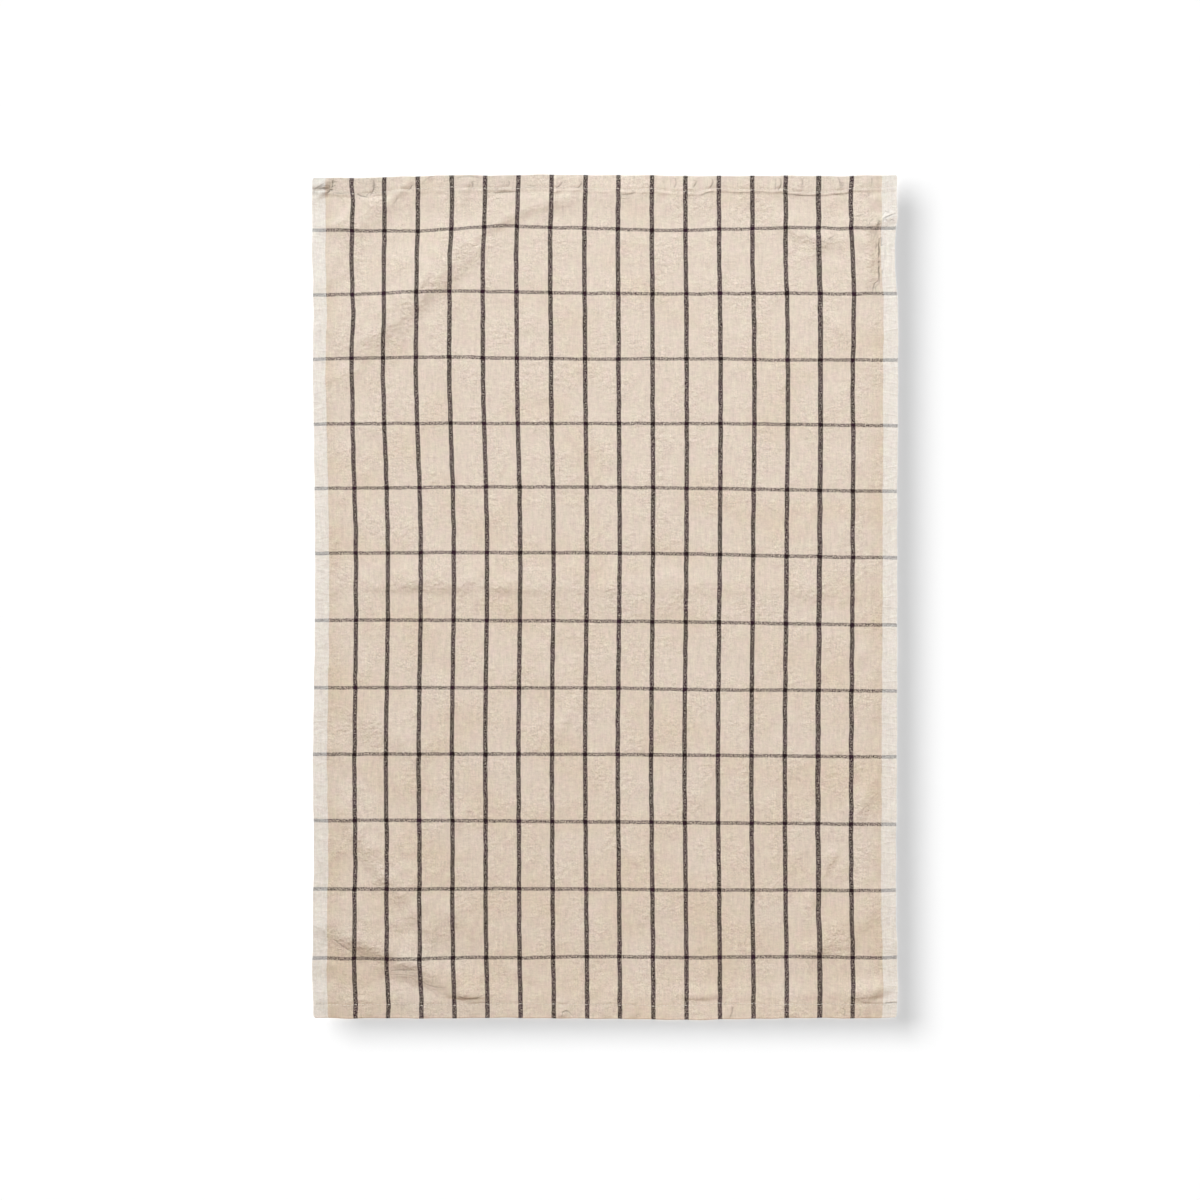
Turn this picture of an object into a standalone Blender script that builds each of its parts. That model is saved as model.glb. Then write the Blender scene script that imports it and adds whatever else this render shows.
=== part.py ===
"""A tea towel: one sheet of cotton cloth with its two short ends hemmed, lying face up on a table.

Everything is in metres. +Y runs up the towel, +Z is up, and the table is z = 0. The cloth is swept
across its width from one section along its length, which holds both turned-under hems. Then its
outline is made as uneven as the real one, and the creases that it was put away with are raised.
"""

import math
from collections import namedtuple

import bmesh
import bpy
from mathutils import Vector

# The towel as it lies.
WIDTH = 0.4915          # from selvedge to selvedge
LENGTH = 0.7102         # from one hem's folded edge to the other's
THICKNESS = 0.0010      # of one layer of the cloth
CORNER_RADIUS = 0.004

# The hems at both short ends.
HEM_TURN = 0.015        # depth of the cloth that is turned under
LAYER_GAP = 0.0003      # between the turned layer and the face
HEM_SLOPE = 0.010       # run over which the face comes down from the hem to the table
HEM_ROWS = (0.0015, 0.004, 0.009)     # rows of the mesh across a hem, from its folded edge
SLOPE_ROWS = 4

# The mesh.
CELL = 0.007            # side of one cell of the cloth
EDGE_FACETS = 5         # facets round a hem's folded edge

# How far each edge stands outside its straight line: where along the edge, and how far.
EdgePoint = namedtuple("EdgePoint", "at out")

LEFT_EDGE = [
    EdgePoint(-0.355, 0.0007),
    EdgePoint(-0.306, -0.0010),
    EdgePoint(-0.272, 0.0007),
    EdgePoint(-0.222, -0.0003),
    EdgePoint(-0.140, 0.0007),
    EdgePoint(-0.036, -0.0010),
    EdgePoint(0.098, -0.0010),
    EdgePoint(0.180, -0.0003),
    EdgePoint(0.267, 0.0007),
    EdgePoint(0.355, 0.0007),
]
RIGHT_EDGE = [
    EdgePoint(-0.355, 0.0003),
    EdgePoint(-0.306, 0.0012),
    EdgePoint(-0.239, -0.0005),
    EdgePoint(-0.171, -0.0005),
    EdgePoint(-0.120, 0.0004),
    EdgePoint(0.234, 0.0004),
    EdgePoint(0.301, -0.0022),
    EdgePoint(0.336, 0.0002),
    EdgePoint(0.355, 0.0002),
]
BOTTOM_EDGE = [
    EdgePoint(-0.246, -0.0014),
    EdgePoint(-0.190, 0.0000),
    EdgePoint(-0.156, -0.0008),
    EdgePoint(-0.122, 0.0001),
    EdgePoint(-0.089, -0.0007),
    EdgePoint(-0.050, 0.0001),
    EdgePoint(0.046, 0.0001),
    EdgePoint(0.097, 0.0009),
    EdgePoint(0.180, 0.0001),
    EdgePoint(0.246, -0.0008),
]
TOP_EDGE = [
    EdgePoint(-0.246, -0.0026),
    EdgePoint(-0.170, -0.0009),
    EdgePoint(-0.122, 0.0008),
    EdgePoint(-0.089, 0.0000),
    EdgePoint(-0.055, 0.0017),
    EdgePoint(0.013, 0.0000),
    EdgePoint(0.180, 0.0000),
    EdgePoint(0.225, 0.0008),
    EdgePoint(0.246, 0.0002),
]

# The creases, each a soft ridge along a bowed line. Seen from its start, bow is how far the middle
# of the line stands to the left; left and right are how far the ridge's two flanks reach.
Crease = namedtuple("Crease", "name start end bow left right height")

CREASES = [
    Crease("corner diagonal", (-0.212, 0.190), (-0.018, 0.338), 0.019, 0.022, 0.013, 0.0026),
    Crease("corner inner", (-0.228, 0.282), (-0.166, 0.338), 0.004, 0.014, 0.009, 0.0014),
    Crease("corner dart", (-0.240, 0.318), (-0.196, 0.338), -0.003, 0.010, 0.008, 0.0010),
    Crease("middle fold", (-0.243, 0.011), (0.088, 0.009), 0.000, 0.011, 0.008, 0.0013),
    Crease("left edge tuck", (-0.238, 0.182), (-0.196, 0.192), -0.003, 0.012, 0.009, 0.0011),
    Crease("upper left sag", (-0.236, -0.078), (-0.138, -0.124), 0.004, 0.015, 0.012, 0.0013),
    Crease("lower left sag", (-0.232, -0.136), (-0.146, -0.181), 0.004, 0.014, 0.011, 0.0013),
    Crease("long lower bend", (-0.222, -0.188), (-0.100, -0.285), -0.014, 0.018, 0.013, 0.0019),
    Crease("lower corner fold", (-0.240, -0.276), (-0.088, -0.338), 0.004, 0.019, 0.011, 0.0025),
    Crease("middle dimple", (-0.040, -0.124), (-0.038, -0.062), -0.016, 0.010, 0.010, 0.0008),
    Crease("upper right trough", (0.136, 0.318), (0.204, 0.297), 0.003, 0.012, 0.010, 0.0013),
    Crease("upper right prop", (0.094, 0.318), (0.106, 0.276), 0.002, 0.010, 0.009, 0.0009),
    Crease("selvedge tuck", (0.232, 0.322), (0.233, 0.252), 0.000, 0.009, 0.007, 0.0015),
    Crease("right edge wave", (0.221, -0.150), (0.206, -0.182), 0.003, 0.011, 0.010, 0.0012),
    Crease("right lower wave", (0.208, -0.206), (0.184, -0.246), 0.003, 0.012, 0.010, 0.0013),
    Crease("right corner bend", (0.218, -0.262), (0.150, -0.306), 0.006, 0.014, 0.012, 0.0016),
]

CLOTH_COLOUR = (0.72, 0.61, 0.50, 1.0)
CLOTH_ROUGHNESS = 0.92

HALF_WIDTH = WIDTH / 2
HALF_LENGTH = LENGTH / 2
FACE_LEVEL = THICKNESS / 2                          # of the cloth's middle where it lies on the table
HEM_RISE = THICKNESS + LAYER_GAP                    # of the face over the turned layer
HEM_RADIUS = HEM_RISE / 2                           # round which the folded edge turns


def clear_scene():
    for thing in list(bpy.data.objects):
        bpy.data.objects.remove(thing, do_unlink=True)


def smooth_step(share):
    """0 below 0, 1 above 1, and a soft S between."""
    share = min(max(share, 0.0), 1.0)
    return share * share * (3 - 2 * share)


def edge_offset(points, at):
    """How far an edge stands out at one place along it, softly between its listed points."""
    if at <= points[0].at:
        return points[0].out
    for before, after in zip(points, points[1:]):
        if at <= after.at:
            share = smooth_step((at - before.at) / (after.at - before.at))
            return before.out + share * (after.out - before.out)
    return points[-1].out


def half_section():
    """Points (y, z) of the cloth's middle from the raw edge under the top hem to the towel's middle."""
    fold_line = HALF_LENGTH - HEM_RADIUS            # where the face starts to turn
    raw_edge = HALF_LENGTH - HEM_TURN
    centre = FACE_LEVEL + HEM_RADIUS
    rows = [HALF_LENGTH - depth for depth in reversed(HEM_ROWS)]
    section = [(y, FACE_LEVEL) for y in [raw_edge] + rows]
    for step in range(EDGE_FACETS + 1):
        angle = math.pi * (step / EDGE_FACETS - 0.5)
        section.append((fold_line + HEM_RADIUS * math.cos(angle), centre + HEM_RADIUS * math.sin(angle)))
    section += [(y, FACE_LEVEL + HEM_RISE) for y in reversed(rows)]
    for step in range(SLOPE_ROWS + 1):
        share = step / SLOPE_ROWS
        y = raw_edge - share * HEM_SLOPE
        section.append((y, FACE_LEVEL + HEM_RISE * (1 - smooth_step(share))))
    lower_end = raw_edge - HEM_SLOPE
    cells = round(lower_end / CELL)
    section += [(lower_end * (1 - step / cells), FACE_LEVEL) for step in range(1, cells + 1)]
    return section


def whole_section():
    top = half_section()
    bottom = [(-y, z) for y, z in reversed(top[:-1])]
    return top + bottom


def crease_height(crease, x, y):
    """Height of one ridge at (x, y): a bowed line, a soft bell across it, and both ends run out."""
    along_line = Vector(crease.end) - Vector(crease.start)
    length = along_line.length
    unit = along_line / length
    reach = Vector((x, y)) - Vector(crease.start)
    share = reach.dot(unit) / length
    if not 0 < share < 1:
        return 0.0
    aside = unit.x * reach.y - unit.y * reach.x
    across = aside - crease.bow * 4 * share * (1 - share)
    flank = crease.left if across > 0 else crease.right
    if abs(across) >= flank:
        return 0.0
    bell = math.cos(math.pi / 2 * across / flank) ** 2
    run_out = math.sin(math.pi * share) ** 0.7
    return crease.height * bell * run_out


def lie(point):
    """Move a point of the straight towel to where it lies: the uneven outline and the creases."""
    x, y, z = point
    end_gap = HALF_LENGTH - abs(y)
    lift = smooth_step((end_gap - HEM_TURN) / HEM_SLOPE)
    z += lift * sum(crease_height(crease, x, y) for crease in CREASES)
    corner = max(CORNER_RADIUS - end_gap, 0.0)
    inset = CORNER_RADIUS - math.sqrt(CORNER_RADIUS ** 2 - corner ** 2)
    side = x / HALF_WIDTH
    end = y / HALF_LENGTH
    if side > 0:
        out_x = side ** 2 * edge_offset(RIGHT_EDGE, y) - side * inset
    else:
        out_x = -side ** 2 * edge_offset(LEFT_EDGE, y) - side * inset
    if end > 0:
        out_y = end ** 2 * edge_offset(TOP_EDGE, x)
    else:
        out_y = -end ** 2 * edge_offset(BOTTOM_EDGE, x)
    return Vector((x + out_x, y + out_y, z))


def cloth_sheet():
    """The cloth's middle surface: the section swept from the left selvedge to the right one."""
    columns = round(WIDTH / CELL)
    bm = bmesh.new()
    row = [bm.verts.new((-HALF_WIDTH, y, z)) for y, z in whole_section()]
    edges = [bm.edges.new(pair) for pair in zip(row, row[1:])]
    step = Vector((WIDTH / columns, 0, 0))
    bmesh.ops.spin(bm, geom=row + edges, dvec=step, angle=0, steps=columns, axis=(0, 0, 1))
    for vert in bm.verts:
        vert.co = lie(vert.co)
    return bm


def centre_on_table(bm):
    """Bring the middle of the towel's outline over the origin."""
    for axis in (0, 1):
        places = [vert.co[axis] for vert in bm.verts]
        middle = (min(places) + max(places)) / 2
        for vert in bm.verts:
            vert.co[axis] -= middle


def face_up(bm):
    """Turn the sheet over if the face at its middle looks down."""
    middle = min(bm.faces, key=lambda face: face.calc_center_median().xy.length)
    if middle.normal.z < 0:
        bmesh.ops.reverse_faces(bm, faces=bm.faces)


def cloth_material():
    material = bpy.data.materials.new("beige cotton")
    material.use_nodes = True
    shader = material.node_tree.nodes["Principled BSDF"]
    shader.inputs["Base Color"].default_value = CLOTH_COLOUR
    shader.inputs["Roughness"].default_value = CLOTH_ROUGHNESS
    shader.inputs["Metallic"].default_value = 0.0
    return material


def make_towel():
    bm = cloth_sheet()
    centre_on_table(bm)
    face_up(bm)
    mesh = bpy.data.meshes.new("towel")
    bm.to_mesh(mesh)
    bm.free()
    mesh.materials.append(cloth_material())
    mesh.shade_smooth()
    towel = bpy.data.objects.new("towel", mesh)
    bpy.context.scene.collection.objects.link(towel)
    layer = towel.modifiers.new("layer", "SOLIDIFY")
    layer.thickness = THICKNESS
    layer.offset = 0.0
    return towel


clear_scene()
make_towel()
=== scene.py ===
# %% [markdown]
# # A tea towel, lying flat
#
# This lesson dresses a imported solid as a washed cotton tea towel. The solid already has the towel's size,
# its uneven outline and its main folds. What is added here is what cloth looks like: a thin sheet with a
# hem that is turned under twice, rows of stitches, small creases, and a woven check. The first step opens
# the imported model, which stays where it is, and keeps its box, because nothing that is added may grow far
# out of it.

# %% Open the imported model
import math
import random
from collections import namedtuple

import bmesh
import bpy
import numpy as np
from mathutils import Matrix, Vector, noise


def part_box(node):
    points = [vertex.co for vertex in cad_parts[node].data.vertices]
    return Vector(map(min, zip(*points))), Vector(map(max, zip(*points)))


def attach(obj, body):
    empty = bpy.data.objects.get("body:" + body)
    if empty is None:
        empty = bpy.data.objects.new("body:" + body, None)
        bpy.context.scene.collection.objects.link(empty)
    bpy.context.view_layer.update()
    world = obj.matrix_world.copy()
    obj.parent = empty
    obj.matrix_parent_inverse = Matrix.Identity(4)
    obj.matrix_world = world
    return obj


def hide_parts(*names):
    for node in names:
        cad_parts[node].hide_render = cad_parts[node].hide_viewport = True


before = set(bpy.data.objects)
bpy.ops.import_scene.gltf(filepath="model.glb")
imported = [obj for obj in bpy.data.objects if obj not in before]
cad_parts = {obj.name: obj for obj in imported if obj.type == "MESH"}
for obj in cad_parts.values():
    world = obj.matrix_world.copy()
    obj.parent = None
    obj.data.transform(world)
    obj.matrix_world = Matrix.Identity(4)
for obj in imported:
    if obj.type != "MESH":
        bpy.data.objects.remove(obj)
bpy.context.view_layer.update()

solid_low, solid_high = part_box("towel")
print("the solid is", [round(side * 1000, 1) for side in solid_high - solid_low], "mm")

# %% [markdown]
# ## The cut cloth
#
# A tea towel is one length cut from a striped web. Its long sides are selvedges, which the loom finishes,
# so only the two short ends are sewn. Each end is turned under twice, so a hem is three layers: the face,
# the layer that shows from below, and the raw edge hidden between them. A sheet with real layers was chosen
# over a thick border, because the hem then has its open side ends, its round outer fold and its small step
# down to the table.

# %% Sizes of the cloth
WIDTH = 0.4915              # from selvedge to selvedge
LENGTH = 0.7102             # from one hem's folded edge to the other's
CLOTH = 0.00050             # thickness of one layer
HEM_DEPTH = 0.0138          # from the folded edge to the hem's inner edge
RAW_EDGE_IN = 0.0030        # the hidden raw edge stops this far short of the folded edge
HEM_AIR = 0.00016           # between two layers where the hem puffs up
PRESSED_AIR = 0.00003       # between two layers under the stitches
SEAM_IN = 0.0115            # from the folded edge to the stitches
SEAM_PULL = 0.0019          # the stitches pull the hem in over this distance on either side
CORNER_RADIUS = 0.0022      # of the towel's four corners
ACROSS_CELL = 0.00245       # one cell of the mesh across the towel
TURNED_CELL = 0.0026        # and one along the layers that are turned under
FOLD_FACETS = 5             # faces round a fold
# The face's rows, from the towel's middle out: where a zone starts and ends, and how long its cells are.
ROW_ZONES = [
    (0.0, 0.022, 0.0024), (0.022, 0.17, 0.0062), (0.17, 0.337, 0.0035), (0.337, 0.346, 0.0008),
    (0.346, 0.3543, 0.0016),
]

HALF_WIDTH = WIDTH / 2
HALF_LENGTH = LENGTH / 2
INNER_EDGE = HALF_LENGTH - HEM_DEPTH
LAYER_STEP = CLOTH + HEM_AIR
print("the cloth lies", round(WIDTH * 1000), "by", round(LENGTH * 1000), "mm")

# %% [markdown]
# ## The section along the towel
#
# The cloth is first a flat grid. Each row of the grid has a place in this section: how far it is along the
# cut cloth, where that comes to lie along the towel, and in which layer of the hem (0 below, 1 hidden, 2
# the face). The row's distance along the cloth is kept, because the woven check is laid out on the cut
# cloth and not on the folded one. That is how the stripes turn round the hem as they do on the real towel.

# %% Rows of the section
Row = namedtuple("Row", "cut y layer")


def steps(start, end, size):
    """Even steps from start to end, both of them in, about size apart."""
    return list(np.linspace(start, end, max(2, round(abs(end - start) / size) + 1)))


def half_section():
    """(y, layer) from the towel's middle up over the hem's face, round it and back to the raw edge."""
    outer, inner = LAYER_STEP, LAYER_STEP / 2
    places = [(0.0, 2.0)]
    for start, end, cell in ROW_ZONES:
        places += [(y, 2.0) for y in steps(start, min(end, HALF_LENGTH - outer), cell)[1:]]
    for step in range(1, FOLD_FACETS + 1):
        angle = math.pi * (0.5 - step / FOLD_FACETS)
        places.append((HALF_LENGTH - outer + outer * math.cos(angle), 1 + math.sin(angle)))
    turn = INNER_EDGE + inner
    places += [(y, 0.0) for y in steps(HALF_LENGTH - outer, turn, TURNED_CELL)[1:]]
    for step in range(1, FOLD_FACETS + 1):
        angle = math.pi * (step / FOLD_FACETS - 0.5)
        places.append((turn - inner * math.cos(angle), 0.5 + 0.5 * math.sin(angle)))
    places += [(y, 1.0) for y in steps(turn, HALF_LENGTH - RAW_EDGE_IN, TURNED_CELL)[1:]]
    return places


def whole_section():
    """Every row of the grid, from the bottom hem's raw edge to the top hem's."""
    cut, half = 0.0, []
    before = None
    for y, layer in half_section():
        if before is not None:
            cut += math.hypot(y - before[0], (layer - before[1]) * LAYER_STEP)
        half.append(Row(cut, y, layer))
        before = (y, layer)
    return [Row(-row.cut, -row.y, row.layer) for row in reversed(half[1:])] + half


rows = whole_section()
CUT_LENGTH = 2 * rows[-1].cut
print(len(rows), "rows; the cloth was cut", round(CUT_LENGTH * 1000), "mm long before its ends were turned")

# %% [markdown]
# ## How the cloth wanders in its own plane
#
# A washed towel never lies square. Its edges are a little wavy, and inside it the stripes bend where the
# cloth was pulled. Both are listed. An edge is a short list of places with how far the edge stands out
# there. A pull is a soft patch of cloth that has slid right or up, strongest in its middle. Pulls fade
# towards the edges, so the outline stays the one that the edge lists give.

# %% The four edges
EdgePoint = namedtuple("EdgePoint", "at out")


def edge_list(*points):
    """Places along an edge, each with how far the edge stands out there, or how much of a thing there is."""
    return [EdgePoint(at, out) for at, out in points]


LEFT_EDGE = edge_list(
    (-0.355, 0.0), (-0.345, 0.0003), (-0.33, 0.0008), (-0.309, 0.0014), (-0.291, 0.0004), (-0.272, 0.0007),
    (-0.222, -0.0003), (-0.14, 0.0006), (-0.1, 0.0), (-0.076, -0.0004), (-0.052, -0.0008),
    (-0.024, -0.0011), (0.036, -0.0013), (0.098, -0.0007), (0.13, -0.0003), (0.19, 0.0007), (0.24, 0.0001),
    (0.262, 0.0003), (0.29, 0.0013), (0.322, 0.0011), (0.343, 0.0012), (0.355, 0.001),
)
RIGHT_EDGE = edge_list(
    (-0.355, 0.0003), (-0.325, 0.0008), (-0.301, 0.0006), (-0.262, -0.0007), (-0.239, -0.0005),
    (-0.21, -0.0005), (-0.171, 0.0001), (-0.12, 0.0004), (0.09, 0.0005), (0.13, 0.001), (0.232, 0.0013),
    (0.25, 0.0008), (0.266, -0.0004), (0.282, -0.0016), (0.296, -0.0016), (0.308, -0.0006), (0.322, 0.0006),
    (0.336, 0.0002), (0.355, 0.0006),
)
BOTTOM_EDGE = edge_list(
    (-0.246, -0.0006), (-0.218, 0.0), (-0.19, -0.0004), (-0.156, -0.0001), (-0.122, -0.0003),
    (-0.089, -0.0007), (-0.05, -0.0002), (0.02, 0.0003), (0.046, 0.0009), (0.08, 0.0012), (0.11, 0.0004),
    (0.18, -0.0005), (0.21, -0.0001), (0.246, -0.0008),
)
TOP_EDGE = edge_list(
    (-0.246, -0.0017), (-0.234, -0.0021), (-0.218, -0.0016), (-0.206, -0.0022), (-0.182, -0.0012),
    (-0.16, -0.0006), (-0.122, 0.0005), (-0.089, 0.0001), (-0.055, 0.0009), (0.0, 0.0004), (0.045, 0.0003),
    (0.067, -0.0003), (0.11, -0.0003), (0.16, 0.0), (0.2, -0.0005), (0.225, 0.0003), (0.246, 0.0004),
)
print("the right edge stands out by up to", max(point.out for point in RIGHT_EDGE) * 1000, "mm")

# %% Pulls
Pull = namedtuple("Pull", "name x y reach_x reach_y right up")
PULLS = [
    Pull("whole upper half slid up", 0.0, 0.06, 0.9, 0.1, 0.0, 0.0046),
    Pull("top stripe slid down again", 0.0, 0.316, 0.9, 0.022, 0.0, -0.0008),
    Pull("whole lower half slid up", 0.0, -0.13, 0.9, 0.12, 0.0, 0.0034),
    Pull("right side hangs back", 0.25, 0.01, 0.15, 0.14, 0.0, -0.0034),
    Pull("right side hangs back, low", 0.25, -0.2, 0.16, 0.08, 0.0, -0.0018),
    Pull("right half eased up", 0.11, 0.185, 0.11, 0.09, 0.0, 0.0011),
    Pull("right half dropped", 0.09, -0.08, 0.06, 0.04, 0.0, -0.0009),
    Pull("left side eased up", -0.19, -0.02, 0.09, 0.05, 0.0, 0.0009),
    Pull("left side eased up, low", -0.19, -0.19, 0.1, 0.04, 0.0, 0.0012),
    Pull("upper left drawn out", -0.14, 0.195, 0.14, 0.105, -0.004, 0.0),
    Pull("top drawn out", -0.07, 0.29, 0.09, 0.055, -0.002, 0.0),
    Pull("kink by the corner diagonal", -0.118, 0.318, 0.028, 0.026, 0.0012, 0.0),
    Pull("top drawn left", 0.0, 0.35, 0.5, 0.06, -0.001, 0.0),
    Pull("top left corner drawn out", -0.2, 0.356, 0.06, 0.018, -0.001, 0.0),
    Pull("top right drawn in", 0.212, 0.278, 0.03, 0.03, 0.0018, 0.0),
    Pull("top right pushed out again", 0.212, 0.325, 0.03, 0.018, -0.0012, 0.0),
    Pull("first stripe bent at the seam", -0.213, 0.335, 0.012, 0.011, 0.0013, 0.0),
    Pull("right stripe drawn left", 0.215, 0.175, 0.03, 0.04, -0.0009, 0.0),
    Pull("lower half drawn left", -0.03, -0.135, 0.4, 0.12, -0.0019, 0.0),
    Pull("low middle drawn left", -0.09, -0.27, 0.07, 0.06, -0.0009, 0.0),
    Pull("left stripe held back, low", -0.222, -0.14, 0.035, 0.15, 0.0017, 0.0),
    Pull("left stripe held back, high", -0.215, 0.235, 0.026, 0.026, 0.0014, 0.0),
    Pull("left stripe held back, at the tuck", -0.215, 0.175, 0.02, 0.035, 0.001, 0.0),
    Pull("upper right eased out", 0.13, 0.16, 0.07, 0.08, 0.0009, 0.0),
    Pull("dropped before the diagonal", -0.155, 0.315, 0.045, 0.04, 0.0, -0.0019),
    Pull("lifted by the corner diagonal", -0.125, 0.245, 0.07, 0.05, 0.0, 0.0022),
    Pull("lifted below the diagonal", -0.18, 0.19, 0.1, 0.045, 0.0, 0.0016),
    Pull("lifted at the top hem", -0.084, 0.314, 0.024, 0.04, 0.0, 0.0019),
    Pull("dropped at the top hem", 0.052, 0.308, 0.045, 0.045, 0.0, -0.0018),
    Pull("lifted at the right of the top", 0.172, 0.312, 0.03, 0.04, 0.0, 0.0005),
    Pull("lifted over the middle fold", -0.08, 0.07, 0.13, 0.06, 0.0, 0.001),
    Pull("dropped in the low left corner", -0.175, -0.305, 0.06, 0.035, 0.0, -0.002),
    Pull("low left hem drawn right", -0.17, -0.338, 0.07, 0.02, 0.001, 0.0),
    Pull("dropped before the low hem", -0.076, -0.303, 0.038, 0.022, 0.0, -0.0014),
    Pull("dropped in the upper right", 0.145, 0.202, 0.03, 0.022, 0.0, -0.001),
    Pull("dropped at the low left edge", -0.24, -0.305, 0.03, 0.03, 0.0, -0.001),
    Pull("dropped at the low right edge", 0.24, -0.305, 0.05, 0.03, 0.0, -0.001),
]
print(len(PULLS), "pulls; the largest slides the cloth",
      max(math.hypot(pull.right, pull.up) for pull in PULLS) * 1000, "mm")

# %% Lying in the plane
EDGE_RIPPLE = 0.00018       # height of the fine ripple along every edge
SIDE_RIPPLE_PACE = 173      # its pace along a side, in radians a metre
END_RIPPLE_PACE = 211       # and along an end
SIDE_FADE = 0.022           # pulls fade out over this distance from a side
END_FADE = 0.034            # and over this one from an end


def smooth_step(share):
    """0 below 0, 1 above 1, and a soft S between."""
    share = np.clip(share, 0.0, 1.0)
    return share * share * (3 - 2 * share)


def along_edge(points, at):
    """How far an edge stands out at each place along it, softly between its listed points."""
    out = np.full(np.shape(at), points[0].out)
    for before, after in zip(points, points[1:]):
        share = smooth_step((at - before.at) / (after.at - before.at))
        out = out + share * (after.out - before.out)
    return out


def lie_in_plane(across, along):
    """Where points of the straight towel come to lie on the table."""
    side_fade = smooth_step((HALF_WIDTH - np.abs(across)) / SIDE_FADE)
    end_fade = smooth_step((HALF_LENGTH - np.abs(along)) / END_FADE)
    x, y = across.copy(), along.copy()
    for pull in PULLS:
        right_of, above = (across - pull.x) / pull.reach_x, (along - pull.y) / pull.reach_y
        strength = np.exp(-right_of ** 2 - above ** 2)
        x += side_fade * pull.right * strength
        y += end_fade * pull.up * strength
    side, end = across / HALF_WIDTH, along / HALF_LENGTH
    corner = np.clip(CORNER_RADIUS - (HALF_LENGTH - np.abs(along)), 0.0, CORNER_RADIUS)
    inset = CORNER_RADIUS - np.sqrt(CORNER_RADIUS ** 2 - corner ** 2)
    out_x = np.where(side > 0, along_edge(RIGHT_EDGE, along), -along_edge(LEFT_EDGE, along))
    out_y = np.where(end > 0, along_edge(TOP_EDGE, across), -along_edge(BOTTOM_EDGE, across))
    out_x = out_x + EDGE_RIPPLE * np.sin(along * SIDE_RIPPLE_PACE + side * 2)
    out_y = out_y + EDGE_RIPPLE * np.sin(across * END_RIPPLE_PACE)
    return x + side ** 2 * out_x - side ** 7 * inset, y + end ** 2 * out_y


middle_x, middle_y = lie_in_plane(np.zeros(1), np.zeros(1))
print("the towel's middle has slid up", round(middle_y[0] * 1000, 1), "mm")
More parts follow.
